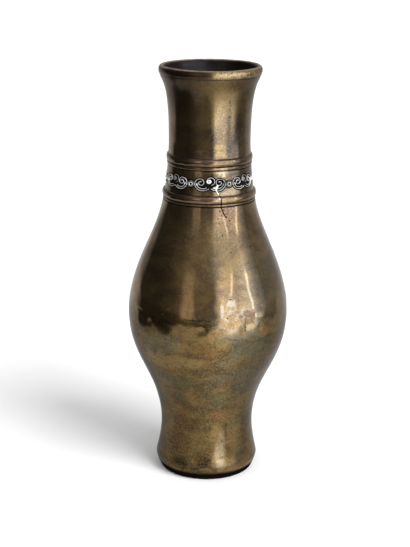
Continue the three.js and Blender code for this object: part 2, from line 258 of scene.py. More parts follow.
def bronzeMaterial():
    look = bronzeLook
    material, graph, place = newMaterial("wornBronze")
    height = place.part("Z")
    turn = place.degreesRound()
    lower = height.fade(*look["mottled"])
    lying = {"operation": "MULTIPLY"}  # clouds lie flat, longer round the vase than up it
    flat = place.node("ShaderNodeVectorMath", lying, {0: place, 1: (1, 1, 1.7)})
    drawn = place.node("ShaderNodeVectorMath", lying, {0: place, 1: (1, 1, 4.5)})
    broad = flat.noise(30, 8, 0.66, 0.5)
    clouds = flat.noise(48, 8, 0.68, 0.8, 3.1)
    rust = flat.noise(60, 6, 0.65, 0.4, 11.4)
    streaks = drawn.noise(60, 7, 0.7, 1.2, 4.6)
    blotches = place.noise(150, 6, 0.72, 0.6, 14.2)
    patchy = place.noise(330, 5, 0.66, 0.5, 17.7)
    speckle = place.noise(950, 5, 0.72, 0, 1.3)
    grain = place.noise(2400, 2, 0.5, 0, 5.9)
    colour = broad.step(0.4, 0.6).lay(look["brown"], look["gold"])

    # Lays shade after shade over the colour so far
    def cover(*layers):
        nonlocal colour
        for mask, shade in layers:
            colour = mask.lay(colour, look[shade])

    # Squared distance from an oval's middle, 1 on its edge
    def oval(aside, above, middle, level, halfTurn, halfHeight):
        across = (aside - middle) / halfTurn
        up = (above - level * mm) / (halfHeight * mm)
        return across * across + up * up

    cover(
        (clouds.step(0.46, 0.6) * (0.25 + 0.35 * lower), "olive"),
        (rust.step(0.5, 0.7) * 0.7, "redBrown"),
    )
    sideways = (broad - 0.5) * 24
    aside, above = turn + sideways, height + (clouds - 0.5) * (12 * mm)  # so that edges wander
    torn = (patchy - 0.5) * 2.0
    # The stains include painted highlights and painted shade as well as patina clouds
    for *where, shade, strength in stainsAndPaintedLight:
        cover(((oval(aside, above, *where) + torn).fade(0.1, 1.5) * strength, shade))
    # painted highlight: white patches where the belly's reflection is brightest, among copper and red-brown
    # stains
    bareAndHighlit = oval(turn + sideways * 0.2, height, *rubbedAndHighlit.values()).fade(0.4, 1.2)
    cover(
        (patchy.fade(0.34, 0.46) * lower * 0.5, "copper"),
        (patchy.step(0.54, 0.66) * lower * 0.55, "green"),
        (bareAndHighlit * patchy.step(0.48, 0.62) * 0.42, "white"),
        (bareAndHighlit * patchy.fade(0.36, 0.48) * 0.6, "copper"),
        (bareAndHighlit * patchy.fade(0.32, 0.4) * 0.7, "redBrown"),
    )
    ragged = (patchy - 0.5) * 5.5
    # Marks laid on: white ones as painted highlights, a black line as a painted reflection edge, a dark one
    # as painted shade on the neck
    for *where, shade, strength in marksAndHighlights:
        cover(((oval(turn, height, *where) + ragged).fade(0.3, 1.2) * strength, shade))
    grainy = (0.5 + 0.5 * clouds.step(0.38, 0.62)) * (0.5 + 0.2 * lower)
    flare = height.step(*look["flare"])
    # painted shade: the flare's dark skin is laid less thickly on the lit front and right side
    lit = turn.step(-46, 16) * turn.fade(110, 175)
    underLipShade = height.step(*look["underLipShade"]) * height.fade(*look["lip"])
    onLip = height.step(*look["lip"])
    # painted shade: the lip's left and back side is laid darker brown
    shaded = turn.step(-175, -110) * turn.fade(-8, 8)
    # the lip's gold patch on the lit right is worn bronze and also a painted highlight
    wornAndHighlit = onLip * aside.step(2, 9) * turn.fade(56, 78) * (0.15 + 0.85 * speckle.step(0.42, 0.56))
    # the lip's top edge is laid lighter: partly a worn edge, partly a painted highlight
    lipEdgeHighlight = height.step(*look["edge"]) * (0.4 + 0.6 * blotches.step(0.4, 0.55))
    cover(
        (streaks.step(0.5, 0.64) * lower * 0.36, "dark"),
        (streaks.fade(0.36, 0.47) * lower * 0.36, "gold"),
        (blotches.step(0.5, 0.68) * (0.12 + 0.26 * lower), "dark"),
        (blotches.fade(0.34, 0.48) * (0.1 + 0.3 * lower), "gold"),
        (speckle.step(0.48, 0.68) * grainy, "glint"),
        (speckle.fade(0.32, 0.5) * grainy, "dark"),
        (flare * (0.74 - 0.3 * lit), "dark"),
        (underLipShade * (0.4 + 0.6 * blotches.step(0.36, 0.5)), "dark"),
        (onLip * shaded * 0.8, "lipShadeBrown"),
        (wornAndHighlit, "lipHighlightGold"),
        (lipEdgeHighlight, "edgeHighlight"),
    )
    uneven = 0.25 + 0.75 * blotches.step(0.36, 0.6)
    # painted shade, partly grime, laid black along the rings' corners
    for middle, half in cornerGrimeAndShade:
        away = graph.maths("ABSOLUTE", height - middle * mm) / (half * mm)
        cover((away.fade(0.1, 1.0) * uneven, "black"))
    onSleeve = height.step(*look["sleeveFoot"]) * height.fade(*look["sleeveTop"])
    # painted shade: the foot's lower bevel is laid black, without metal or coat
    footUnderShade = (height + (speckle - 0.5) * (1.2 * mm)).fade(*look["footUnderShade"])
    cover((onSleeve * blotches.step(0.46, 0.56) * 0.7, "dark"), (footUnderShade, "black"))
    roughness = look["roughness"] + 0.03 * clouds + 0.05 * (speckle - 0.5) + 0.1 * lower
    roughness = roughness + 0.16 * wornAndHighlit + 0.24 * flare + 0.2 * lipEdgeHighlight
    relief = (speckle * 0.6 + grain * 0.4) * (0.35 + 0.65 * lower)
    setSurface(graph, {
        "Base Color": colour,
        "Metallic": 1 - footUnderShade,
        "Specular IOR Level": 0.0,
        "Roughness": roughness,
        "Coat Weight": look["coat"] * (1 - 0.6 * flare) * (1 - footUnderShade) * (1 - 0.9 * lower),
        "Coat Roughness": look["coatRoughness"],
        "Normal": setBump(graph, relief, 0.25, 0.15 * mm),
    })
    return material


# The unpolished inside and underside, near black: dark patina, darkened further as painted shade of the
# hollow
darkLook = {"brown": (0.006, 0.005, 0.0045), "rust": (0.020, 0.011, 0.008), "roughness": 0.22}


def darkMaterial():
    look = darkLook
    material, graph, place = newMaterial("darkBronze")
    clouds = place.noise(90, 5, 0.6, 0.4, 2.2)
    grain = place.noise(1500, 3, 0.6, 0, 4.4)
    level = {"operation": "MULTIPLY"}  # turning marks run round the inside
    rings = place.node("ShaderNodeVectorMath", level, {0: place, 1: (0.06, 0.06, 1)}).noise(700, 3, 0.6)
    colour = (clouds * 0.5 + rings * 0.5).step(0.42, 0.6).lay(look["brown"], look["rust"])
    setSurface(graph, {
        "Base Color": colour,
        "Metallic": 0.7,
        "Roughness": look["roughness"] + 0.2 * rings,
        "Normal": setBump(graph, grain * 0.5 + rings, 0.3, 0.1 * mm),
    })
    return material


# Blackened ground between the wires
groundLook = {
    "black": (0.005, 0.004, 0.004),
    "brown": (0.016, 0.012, 0.009),
    "roughness": 0.7,
    "gloss": 0.05,
}


def groundMaterial():
    look = groundLook
    material, graph, place = newMaterial("blackGround")
    grain = place.noise(1800, 3, 0.6, 0, 6.1)
    setSurface(graph, {
        "Base Color": grain.step(0.5, 0.75).lay(look["black"], look["brown"]),
        "Roughness": look["roughness"],
        "Specular IOR Level": look["gloss"],
        "Normal": setBump(graph, grain, 0.5, 0.1 * mm),
    })
    return material


# Silver wire, the same gone dull and also as painted shade on the eyes away from the front, and solder
silverLook = {"bright": (0.86, 0.85, 0.82), "tarnish": (0.42, 0.40, 0.36), "roughness": 0.36}
dullLook = {"bright": (0.34, 0.33, 0.30), "tarnish": (0.14, 0.13, 0.11), "roughness": 0.45}
solderLook = {"bright": (0.86, 0.86, 0.84), "tarnish": (0.62, 0.60, 0.56), "roughness": 0.4}


def silverMaterial(name, look):
    material, graph, place = newMaterial(name)
    tarnish = place.noise(420, 4, 0.6, 0.3, 8.3)
    grain = place.noise(2600, 2, 0.5, 0, 9.1)
    setSurface(graph, {
        "Base Color": tarnish.step(0.5, 0.72).lay(look["bright"], look["tarnish"]),
        "Metallic": 0.6,
        "Roughness": look["roughness"] + 0.25 * tarnish,
        "Normal": setBump(graph, grain, 0.3, 0.06 * mm),
    })
    return material


wornBronze = bronzeMaterial()
darkBronze = darkMaterial()
blackGround = groundMaterial()
wornSilver = silverMaterial("wornSilver", silverLook)
dullSilver = silverMaterial("dullSilver", dullLook)
oldSolder = silverMaterial("oldSolder", solderLook)
print("finishes made")


def smoothStep(value, low, high):
    share = min(max((value - low) / (high - low), 0), 1)
    return share * share * (3 - 2 * share)


# Sizes that are kept in millimetres
def metres(size, *names):
    return [size[name] * mm for name in names]


def deselect():
    bpy.ops.object.select_all(action="DESELECT")


def selectOnly(*pieces):
    deselect()
    for piece in pieces:
        piece.select_set(True)
    bpy.context.view_layer.objects.active = pieces[0]


def edit(action):
    bpy.ops.object.mode_set(mode="EDIT")
    bpy.ops.mesh.select_all(action=action)


def leaveEdit():
    bpy.ops.object.mode_set(mode="OBJECT")


# Picks faces in code, in edit mode
def pickFaces(piece, wanted):
    edit("DESELECT")
    bpy.ops.mesh.select_mode(type="FACE")
    leaveEdit()
    for face in piece.data.polygons:
        face.select = wanted(face)
    bpy.ops.object.mode_set(mode="EDIT")


def giveMaterial(piece, material):
    piece.data.materials.append(material)
    piece.active_material_index = len(piece.data.materials) - 1
    bpy.ops.object.material_slot_assign()


# An empty curve to draw on, which becomes a welded mesh in edit mode
def startCurve(name):
    deselect()
    bpy.ops.curve.primitive_bezier_curve_add(location=(0, 0, 0))
    piece = bpy.context.object
    piece.name = name
    piece.data.splines.clear()
    return piece.data


def weld():
    bpy.ops.mesh.remove_doubles(threshold=0.002 * mm)


def curveToMesh():
    bpy.ops.object.convert(target="MESH")
    edit("SELECT")
    weld()


def smooth(sharpAngle):
    bpy.ops.object.shade_smooth_by_angle(angle=math.radians(sharpAngle))


def finishMesh(sharpAngle):
    bpy.ops.mesh.normals_make_consistent(inside=False)
    leaveEdit()
    smooth(sharpAngle)
    return bpy.context.object


def pushIn(vertex, depth):
    vertex.co += Vector((-vertex.co.x, -vertex.co.y, 0)).normalized() * depth


def settle(piece, slot, *nodes):
    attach(piece, "root")
    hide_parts(*nodes)


castingSharp = 38  # edges of the castings sharper than this stay sharp, in degrees


# Half of a turned piece's section, drawn as stretches of Bezier curve in radius and height
class Outline:
    def __init__(self, radius, height):
        self.start = Vector((radius, height))
        self.pen = self.start
        self.stretches = []

    def curveTo(self, out, into, end, steps):
        self.stretches.append((self.pen, out, into, end, steps))
        self.pen = end

    def lineTo(self, radius, height, steps=1):
        end = Vector((radius, height))
        self.curveTo(self.pen.lerp(end, 1 / 3), self.pen.lerp(end, 2 / 3), end, steps)

    def linesTo(self, *ends):
        for end in ends:
            self.lineTo(*end)

    # Leaves upright and arrives along a slope of radius against height
    def sweepTo(self, radius, height, first, last, steps, slope=0):
        end = Vector((radius, height))
        rise = height - self.pen.y
        out = self.pen + Vector((0, first * rise))
        into = end - Vector((slope * last * rise, last * rise))
        self.curveTo(out, into, end, steps)

    # The same sweep drawn from its far end back to an upright start
    def sweepBack(self, radius, height, first, last, steps, slope=0):
        end = Vector((radius, height))
        rise = self.pen.y - height
        out = self.pen - Vector((slope * last * rise, last * rise))
        into = end + Vector((0, first * rise))
        self.curveTo(out, into, end, steps)

    def arc(self, centre, radii, fromAngle, toAngle, steps):
        def along(angle):
            return centre + Vector((radii[0] * math.cos(angle), radii[1] * math.sin(angle)))

        def tangent(angle):
            return Vector((-radii[0] * math.sin(angle), radii[1] * math.cos(angle)))

        a, b = math.radians(fromAngle), math.radians(toAngle)
        pull = 4 / 3 * math.tan((b - a) / 4)
        self.curveTo(along(a) + pull * tangent(a), along(b) - pull * tangent(b), along(b), steps)

    # A half-round moulding
    def bead(self, height, size, steps):
        base = size["radius"] * mm
        self.lineTo(base, height)
        half = size["height"] * mm / 2
        centre = Vector((base, height + half))
        radii = (size["proud"] * mm, half)
        self.arc(centre, radii, -90, 0, steps)
        self.arc(centre, radii, 0, 90, steps)
        return height + size["height"] * mm

    # A thin fillet with a bead on it, up to the bead's top
    def ring(self, height, size):
        return self.bead(self.bead(height, size["fillet"], 5), size["bead"], 9)

    def turn(self, name, turns):
        if (self.pen - self.start).length > 1e-7:
            self.lineTo(*self.start)
        curve = startCurve(name)
        for start, out, into, end, steps in self.stretches:
            spline = curve.splines.new("BEZIER")
            spline.bezier_points.add(1)
            spline.resolution_u = steps
            first, last = spline.bezier_points
            for knot, place, left, right in ((first, start, start, out), (last, end, into, end)):
                knot.handle_left_type = knot.handle_right_type = "FREE"
                knot.co = (place.x, 0, place.y)
                knot.handle_left = (left.x, 0, left.y)
                knot.handle_right = (right.x, 0, right.y)
        curveToMesh()
        bpy.ops.mesh.spin(steps=turns, angle=2 * math.pi, center=(0, 0, 0), axis=(0, 0, 1))
        bpy.ops.mesh.select_all(action="SELECT")
        weld()
        return finishMesh(castingSharp)


# Slow waves of a hand-finished casting, and dents round the belly, which make reflections waver
waves = {"size": 24, "depth": 0.4, "octaves": 1}
ripples = {"size": 7.5, "depth": 0.34, "octaves": 1, "from": 84, "middle": 107, "to": 140}


def addWaves(piece, settings, group=""):
    name = piece.name + "Waves" + group
    texture = bpy.data.textures.new(name, "CLOUDS")
    texture.noise_scale = settings["size"] * mm
    texture.noise_depth = settings["octaves"]
    modifier = piece.modifiers.new(name, "DISPLACE")
    modifier.texture = texture
    modifier.texture_coords = "LOCAL"
    modifier.vertex_group = group
    modifier.strength = settings["depth"] * mm
    bpy.ops.object.modifier_apply(modifier=name)


# Shallow dents round the belly: turn in degrees, then height, radius and depth in millimetres
dents = [
    (-4.9, 104.6, 4.4, 0.24), (-18.5, 106.0, 4.2, 0.12), (-32.0, 104.2, 5.2, 0.16),
    (-45.0, 105.0, 4.6, 0.1), (16.0, 107.5, 5.0, 0.14), (24.5, 104.0, 4.2, 0.16), (31.0, 108.0, 4.6, 0.14),
    (38.0, 103.0, 4.0, 0.12), (9.0, 103.0, 3.6, 0.1), (20.0, 113.0, 4.0, 0.1), (27.0, 118.0, 5.0, 0.1),
]


def addDents(piece):
    for vertex in piece.data.vertices:
        for turn, height, radius, depth in dents:
            if abs(vertex.co.z - height * mm) < radius * mm and vertex.co.y < 0:
                share = distanceTo(vertex.co, [(turn, height)]) / (radius * mm)
                if share < 1:
                    pushIn(vertex, depth * mm * (1 - share * share) ** 2)


def addRipples(piece):
    group = piece.vertex_groups.new(name="ripples")
    low, middle, high = metres(ripples, "from", "middle", "to")
    for vertex in piece.data.vertices:
        z = vertex.co.z
        weight = smoothStep(z, low, middle) * (1 - smoothStep(z, middle, high))
        group.add([vertex.index], weight, "REPLACE")
    addWaves(piece, ripples, "ripples")


def facesAxis(face):
    outward = Vector((face.center.x, face.center.y, 0))
    return outward.dot(face.normal) < -1e-6


# Old damage, in degrees of turn from the front towards the right and in millimetres of height
damage = {
    "crack": {
        "path": [
            (13.6, 181.4), (14.3, 179.9), (14.8, 178.0), (14.6, 175.9), (15.6, 173.7), (17.4, 171.0),
            (20.6, 168.6),
        ],
        "width": 0.34,
        "depth": 0.7,
    },
    "bellyLine": {"path": [(-8.8, 112.5), (-3.6, 111.2), (2.4, 109.9)], "width": 0.22, "depth": 0.22},
    "pits": [
        (13.0, 172.5), (15.3, 169.8), (10.4, 168.3), (24.6, 166.7), (18.0, 173.0), (20.6, 170.7),
        (12.2, 165.4), (21.3, 149.1), (14.4, 158.8), (13.8, 112.5), (16.6, 123.3), (-38.0, 118.6),
        (-33.5, 112.3), (-29.0, 116.0),
    ],
    "pitWidth": 0.36,
    "pitDepth": 0.4,
    "cuts": 7,  # subdivisions of the faces near a groove or pit
    "fineReach": 0.9,  # how far past its edge they go
    "blackInset": 0.1,  # from its edge in to its black bottom
    "ragged": 0.45,
    "raggedScale": 1400,
    "margin": 2,  # of height past the last groove or pit, and of the crack past a seam
}


def turnOf(point):
    return math.atan2(point.x, -point.y)


# Distance over the surface from a point to a path of turns and heights
def distanceTo(point, path):
    radius = math.hypot(point.x, point.y)
    here = Vector((radius * turnOf(point), point.z))
    places = [Vector((radius * math.radians(turn), height * mm)) for turn, height in path]
    if len(places) == 1:
        return (here - places[0]).length
    nearest = 1.0
    for a, b in zip(places, places[1:]):
        along = b - a
        share = min(max((here - a).dot(along) / along.length_squared, 0), 1)
        nearest = min(nearest, (here - a - share * along).length)
    return nearest


# Cuts grooves and pits into a piece's outside: fine faces first, then the cut, then its dark bottom
def cutDamage(piece, cuts):
    heights = [height for path, _, _ in cuts for _, height in path]
    lowest, highest = (min(heights) - damage["margin"]) * mm, (max(heights) + damage["margin"]) * mm

    def near(point, reach):
        if not lowest < point.z < highest or point.y > 0:
            return False
        return any(distanceTo(point, path) < width * mm + reach for path, width, _ in cuts)

    pickFaces(piece, lambda face: not facesAxis(face) and near(face.center, damage["fineReach"] * mm))
    bpy.ops.mesh.subdivide(number_cuts=damage["cuts"])
    leaveEdit()
    outside = [v for v in piece.data.vertices if near(v.co, 0)]
    for vertex in outside:
        for path, width, depth in cuts:
            ragged = 1 + damage["ragged"] * noise.noise(vertex.co * damage["raggedScale"])
            share = distanceTo(vertex.co, path) / (width * mm * ragged)
            if share < 1:
                pushIn(vertex, depth * mm * (1 - share * share))
    pickFaces(piece, lambda face: near(face.center, -damage["blackInset"] * mm))
    giveMaterial(piece, blackGround)
    leaveEdit()
    smooth(castingSharp)


# The stretch of the crack that crosses a piece
def crackCut(low, high):
    crack, past = damage["crack"], damage["margin"]
    path = [place for place in crack["path"] if low / mm - past < place[1] < high / mm + past]
    return path, crack["width"], crack["depth"]


def bodyDamage():
    line = damage["bellyLine"]
    cuts = [crackCut(bodyLow.z, bodyHigh.z), (line["path"], line["width"], line["depth"])]
    return cuts + [([pit], damage["pitWidth"], damage["pitDepth"]) for pit in damage["pits"]]


# Body: foot, waist, belly and shoulder in one casting
vaseBody = {
    "wall": 3.2,
    "footRadius": 32.05,
    "footRise": 6.4,
    "footUndercut": 2.2,
    "footBevel": (1.2, 2.3),
    "waistRadius": 28.85,
    "waistRise": 27.4,
    "bellyRise": 101.2,
    "rimRadius": 28.24,
    "rimSlope": -0.17,
    "throatSlope": -0.5,
    "boreRadius": 23.7,
    "socketDepth": 8,
    "footCurve": (0.05, 0.43),
    "bellyCurve": (0.45, 0.42),
    "shoulderCurve": (0.39, 0.32),
    "turns": 216,
}


def makeBody():
    size = vaseBody
    bellyRadius = bodyHigh.y
    footZ, rimZ = bodyLow.z, bodyHigh.z
    waistRise, bellyRise, socketDepth = metres(size, "waistRise", "bellyRise", "socketDepth")
    waistZ, bellyZ, socketZ = footZ + waistRise, footZ + bellyRise, rimZ - socketDepth
    footRadius, waistRadius = metres(size, "footRadius", "waistRadius")
    wall, bore = metres(size, "wall", "boreRadius")
    edgeRadius = footRadius - size["footUndercut"] * mm
    bevelRun, bevelHeight = (share * mm for share in size["footBevel"])
    bevelTop = Vector((edgeRadius + bevelRun, footZ + bevelHeight))
    footTop = Vector((footRadius, footZ + size["footRise"] * mm))
    footPull = Vector((footRadius, bevelTop.y + bevelHeight))
    section = Outline(waistRadius - wall, footZ)
    section.linesTo((edgeRadius, footZ), (*bevelTop, 3))
    section.curveTo(bevelTop.lerp(footPull, 2 / 3), footTop.lerp(footPull, 2 / 3), footTop, 10)
    section.sweepTo(waistRadius, waistZ, *size["footCurve"], 26)
    section.sweepTo(bellyRadius, bellyZ, *size["bellyCurve"], 56)
    section.sweepTo(size["rimRadius"] * mm, rimZ, *size["shoulderCurve"], 64, size["rimSlope"])
    section.linesTo((bore, rimZ), (bore, socketZ))
    section.sweepBack(bellyRadius - wall, bellyZ, *size["shoulderCurve"], 24, size["throatSlope"])
    section.sweepBack(waistRadius - wall, waistZ, *size["bellyCurve"], 20)
    piece = section.turn("bodyCasting", size["turns"])
    addWaves(piece, waves)
    addRipples(piece)
    addDents(piece)
    piece.data.materials.append(wornBronze)
    pickFaces(piece, facesAxis)
    giveMaterial(piece, darkBronze)
    leaveEdit()
    cutDamage(piece, bodyDamage())
    settle(piece, "bronze", "body")
    return piece


# Neck: spigot, upper ring, narrow neck and flared mouth in one casting
vaseNeck = {
    "bore": 21,
    "wall": 3.64,
    "seat": 0.3,  # gap that the solder fills above the collar
    "polishedTop": 0.7,  # depth inside the lip that stays polished
    "waistRise": 12.7,
    "shoulder": 0.3,
    "spigotRadius": 23.4,
    "spigotBreak": 0.6,
    "lipThickness": 3.4,
    "lipHeight": 2.7,
    "lipUnder": 45,
    "flareCurve": (0.86, 0.16),
    "flareSlope": 0.3,
    "fillet": {"radius": 25.35, "proud": 0.4, "height": 2},
    "bead": {"radius": 25.1, "proud": 1, "height": 4.6},
    "turns": 192,
}


def makeNeck():
    size = vaseNeck
    spigotZ, topZ = neckLow.z, neckHigh.z
    seat, bore, wall, waistRise = metres(size, "seat", "bore", "wall", "waistRise")
    spigot, broken = metres(size, "spigotRadius", "spigotBreak")
    ringZ = collarHigh.z + seat
    radius = bore + wall
    waistZ = ringZ + waistRise
    lipRadius = size["lipThickness"] * mm / 2
    lipCentre = Vector((neckHigh.y - lipRadius, topZ - size["lipHeight"] * mm))
    lipRadii = (lipRadius, size["lipHeight"] * mm)
    under = math.radians(size["lipUnder"])
    lipFoot = lipCentre + Vector((lipRadii[0] * math.cos(under), -lipRadii[1] * math.sin(under)))
    section = Outline(bore, spigotZ)
    section.linesTo((spigot - broken, spigotZ), (spigot, spigotZ + broken), (spigot, ringZ))
    beadTop = section.ring(ringZ, size)
    section.linesTo((radius + size["shoulder"] * mm, beadTop), (radius, waistZ, 4))
    section.sweepTo(*lipFoot, *size["flareCurve"], 48, size["flareSlope"])
    section.arc(lipCentre, lipRadii, -size["lipUnder"], 0, 5)
    section.arc(lipCentre, lipRadii, 0, 90, 9)
    section.arc(lipCentre, lipRadii, 90, 180, 9)
    section.lineTo(lipFoot.x - wall, lipFoot.y)
    section.sweepBack(bore, waistZ, *size["flareCurve"], 30, size["flareSlope"])
    piece = section.turn("neckCasting", size["turns"])
    addWaves(piece, waves)
    piece.data.materials.append(wornBronze)
    lipTop = topZ - size["polishedTop"] * mm
    pickFaces(piece, lambda face: facesAxis(face) and face.center.z < lipTop)
    giveMaterial(piece, darkBronze)
    leaveEdit()
    settle(piece, "bronze", "neck")
    return piece


# Base plate that closes the foot
vasePlate = {
    "flange": 1.2,
    "plugRadius": 25.35,
    "dishMargin": 4.6,
    "dishDepth": 0.7,
    "break": 0.4,
    "turns": 144,
}


def makePlate():
    size = vasePlate
    radius, topZ = plateHigh.y, plateHigh.z
    plug, broken, dish, flange = metres(size, "plugRadius", "break", "dishDepth", "flange")
    dishRadius = radius - size["dishMargin"] * mm
    section = Outline(0, dish)
    section.linesTo(
        (dishRadius, dish, 12), (dishRadius + dish, 0, 2), (radius - broken, 0, 3), (radius, broken, 2),
        (radius, flange, 2), (plug, flange, 2), (plug, topZ - broken, 2), (plug - broken, topZ),
        (0, topZ, 8),
    )
    section.start = section.pen  # both ends lie on the axis, so nothing joins them
    piece = section.turn("basePlate", size["turns"])
    # the plate's black is partly patina, partly painted shade for the dark band under the foot
    piece.data.materials.append(blackGround)
    settle(piece, "dark_bronze", "base_plate")
    return piece


bodyCasting = makeBody()
print("body turned:", len(bodyCasting.data.polygons), "faces")
neckCasting = makeNeck()
print("neck turned:", len(neckCasting.data.polygons), "faces")
basePlate = makePlate()
print("base plate turned:", len(basePlate.data.polygons), "faces")


# Collar, and the flat layout of the silver work on it
vaseCollar = {
    "bore": 23.7,
    "topRadius": 25.4,
    "footRadius": 26.9,
    "fillet": {"radius": 27.75, "proud": 0.45, "height": 1.5},
    "bead": {"radius": 27.35, "proud": 1.25, "height": 4.7},
    "inlayDrop": 0.35,
    "groundDepth": 0.75,
    "groundMargin": 0.95,  # from a wire's middle to the edge of the ground
    "columnsInMotif": 96,
    "rows": 64,
}
motifs = {"count": 7, "turn": 1, "squash": 0.92, "front": 1}
sleeveZ = collarLow.z + (vaseCollar["fillet"]["height"] + vaseCollar["bead"]["height"]) * mm
inlayZ = (sleeveZ + collarHigh.z) / 2 - vaseCollar["inlayDrop"] * mm


def sleeveRadius(z):
    top, foot = metres(vaseCollar, "topRadius", "footRadius")
    return top + (collarHigh.z - z) * (foot - top) / (collarHigh.z - sleeveZ)


inlayRadius = sleeveRadius(inlayZ)
pitch = 2 * math.pi * inlayRadius / motifs["count"]

# Scroll motif in shares of its pitch and in degrees
scroll = {
    "centre": Vector((-0.246, 0.057)),
    "radius": 0.0914,
    "tightening": 0.72,
    "tightenFrom": 350,
    "tightenTo": 560,
    "sweep": 655,
    "start": -37,
    "tail": 0.187,
    "tailSweep": 225,
    "tailPower": 1.4,
    "fanSweep": 190,
    "fanSteps": 24,
    "drop": 0.9,  # swelling of the hammered inner end, in shares of the wire
    "dropSpan": (0.88, 0.97),
    "steps": 110,
}
accent = {"inset": 0.0574, "from": 5, "to": 126, "swell": 0.01, "drop": 0.3, "steps": 36}
eye = {
    "centre": Vector((-0.03, 0.078)),
    "radius": 0.021,
    "hoodCentre": Vector((0.018, 0.085)),
    "hood": 0.101,
    "hoodFrom": 200,
    "hoodTo": 335,
    "sweep": 580,
    "start": 140,
    "discRadii": (1.02, 0.82),  # middle of the hammered ring round the eye's slit, in millimetres
    "discHalf": 0.5,
    "discFlatten": 0.5,
    "discSteps": 40,
    "steps": 80,
}
spacer = {
    "centre": Vector((0.5, 0)),
    "ring": 0.08,
    "ringSteps": 48,
    "core": 0.044,
    "coreSwell": 1.4,
    "coreSteps": 32,
}


def shares(steps):
    return [i / steps for i in range(steps + 1)]


def polar(centre, radius, degrees):
    turn = math.radians(degrees)
    return centre + radius * Vector((math.cos(turn), math.sin(turn)))


def scrollPoint(sweep, inset=0.0):
    tightening = scroll["tightening"] * smoothStep(sweep, scroll["tightenFrom"], scroll["tightenTo"])
    tail = max(0, 1 - sweep / scroll["tailSweep"]) ** scroll["tailPower"]
    radius = scroll["radius"] * (1 - tightening) + scroll["tail"] * tail
    return polar(scroll["centre"], radius - inset, scroll["start"] - sweep)


def eyePoint(sweep):
    opening = smoothStep(sweep, eye["hoodFrom"], eye["hoodTo"])
    radius = eye["radius"] + (eye["hood"] - eye["radius"]) * opening
    return polar(eye["centre"].lerp(eye["hoodCentre"], opening), radius, eye["start"] - sweep)


# Place of a point on the collar on the flat layout, in shares of the pitch from the nearest motif
def flatPlace(point):
    angle = math.degrees(turnOf(point)) - motifs["turn"]
    share = angle * motifs["count"] / 360
    return Vector((share - round(share), (point.z - inlayZ) / (pitch * motifs["squash"])))


def insideFan(place, fan):
    inside = False
    for a, b in zip(fan, fan[1:] + fan[:1]):
        if (a.y > place.y) != (b.y > place.y):
            if place.x < a.x + (place.y - a.y) * (b.x - a.x) / (b.y - a.y):
                inside = not inside
    return inside


def groundTest():
    reach = vaseCollar["groundMargin"] * mm / pitch
    edge = [scrollPoint(scroll["fanSweep"] * share, -reach) for share in shares(scroll["fanSteps"])]
    fan = [Vector((reach, eye["centre"].y)), Vector((reach, edge[0].y)), *edge, scroll["centre"]]

    def isGround(face):
        if not sleeveZ < face.center.z < collarHigh.z or facesAxis(face) or abs(face.normal.z) > 0.5:
            return False
        place = flatPlace(face.center)
        hood = (place - eye["hoodCentre"]).length < eye["hood"] + reach
        place.x = -abs(place.x)
        curl = (place - scroll["centre"]).length < scroll["radius"] + reach
        ring = (place + spacer["centre"]).length < spacer["ring"] + reach
        return curl or hood or ring or insideFan(place, fan)

    return isGround


# The lower ring was broken at the crack, and its right-hand end was set a little low
brokenBead = {"turn": 14.4, "fadeTo": 60, "drop": 0.55}


def dropBead(piece):
    low = collarLow.z + vaseCollar["fillet"]["height"] * mm
    for vertex in piece.data.vertices:
        turn = math.degrees(turnOf(vertex.co))
        rise = (vertex.co.z - low) / (sleeveZ - low)
        if turn > brokenBead["turn"] and 0 < rise < 1:
            fade = 1 - smoothStep(turn, brokenBead["turn"], brokenBead["fadeTo"])
            vertex.co.z -= brokenBead["drop"] * mm * fade * math.sin(math.pi * rise)


def makeCollar():
    size = vaseCollar
    bore, topRadius, footRadius = metres(size, "bore", "topRadius", "footRadius")
    section = Outline(bore, collarLow.z)
    section.ring(collarLow.z, size)
    section.linesTo((footRadius, sleeveZ), (topRadius, collarHigh.z, size["rows"]), (bore, collarHigh.z))
    piece = section.turn("inlayCollar", motifs["count"] * size["columnsInMotif"])
    piece.data.materials.append(wornBronze)
    pickFaces(piece, groundTest())
    sink = {"value": -size["groundDepth"] * mm}
    bpy.ops.mesh.extrude_region_shrink_fatten(TRANSFORM_OT_shrink_fatten=sink)
    giveMaterial(piece, blackGround)
    leaveEdit()
    dropBead(piece)
    cutDamage(piece, [crackCut(collarLow.z, collarHigh.z)])
    settle(piece, "bronze", "inlay_collar")
    return piece


inlayCollar = makeCollar()
print("collar turned and sunk:", len(inlayCollar.data.polygons), "faces")

# Silver wire, drawn flat in metres and bent round the collar
wire = {
    "width": 0.3,
    "height": 0.65,
    "proud": 0.2,
    "sides": 3,
    "sharp": 60,
    "lean": 0.006,  # unevenness of the laying, from one piece to the next
    "lift": 0.04,
    "seed": 7,
}


def drawWire(name, path, radii, closed=False, flatten=wire["height"] / wire["width"]):
    curve = startCurve(name)
    spline = curve.splines.new("POLY")
    spline.points.add(len(path) - 1)
    spline.use_cyclic_u = closed
    for knot, place, radius in zip(spline.points, path, radii):
        knot.co = (place.x * pitch, place.y * pitch, 0, 1)
        knot.radius = radius
    curve.bevel_depth = wire["width"] * mm / 2
    curve.bevel_resolution = wire["sides"]
    curve.use_fill_caps = not closed
    curveToMesh()
    bpy.ops.transform.resize(value=(1, 1, flatten))
    return finishMesh(wire["sharp"])


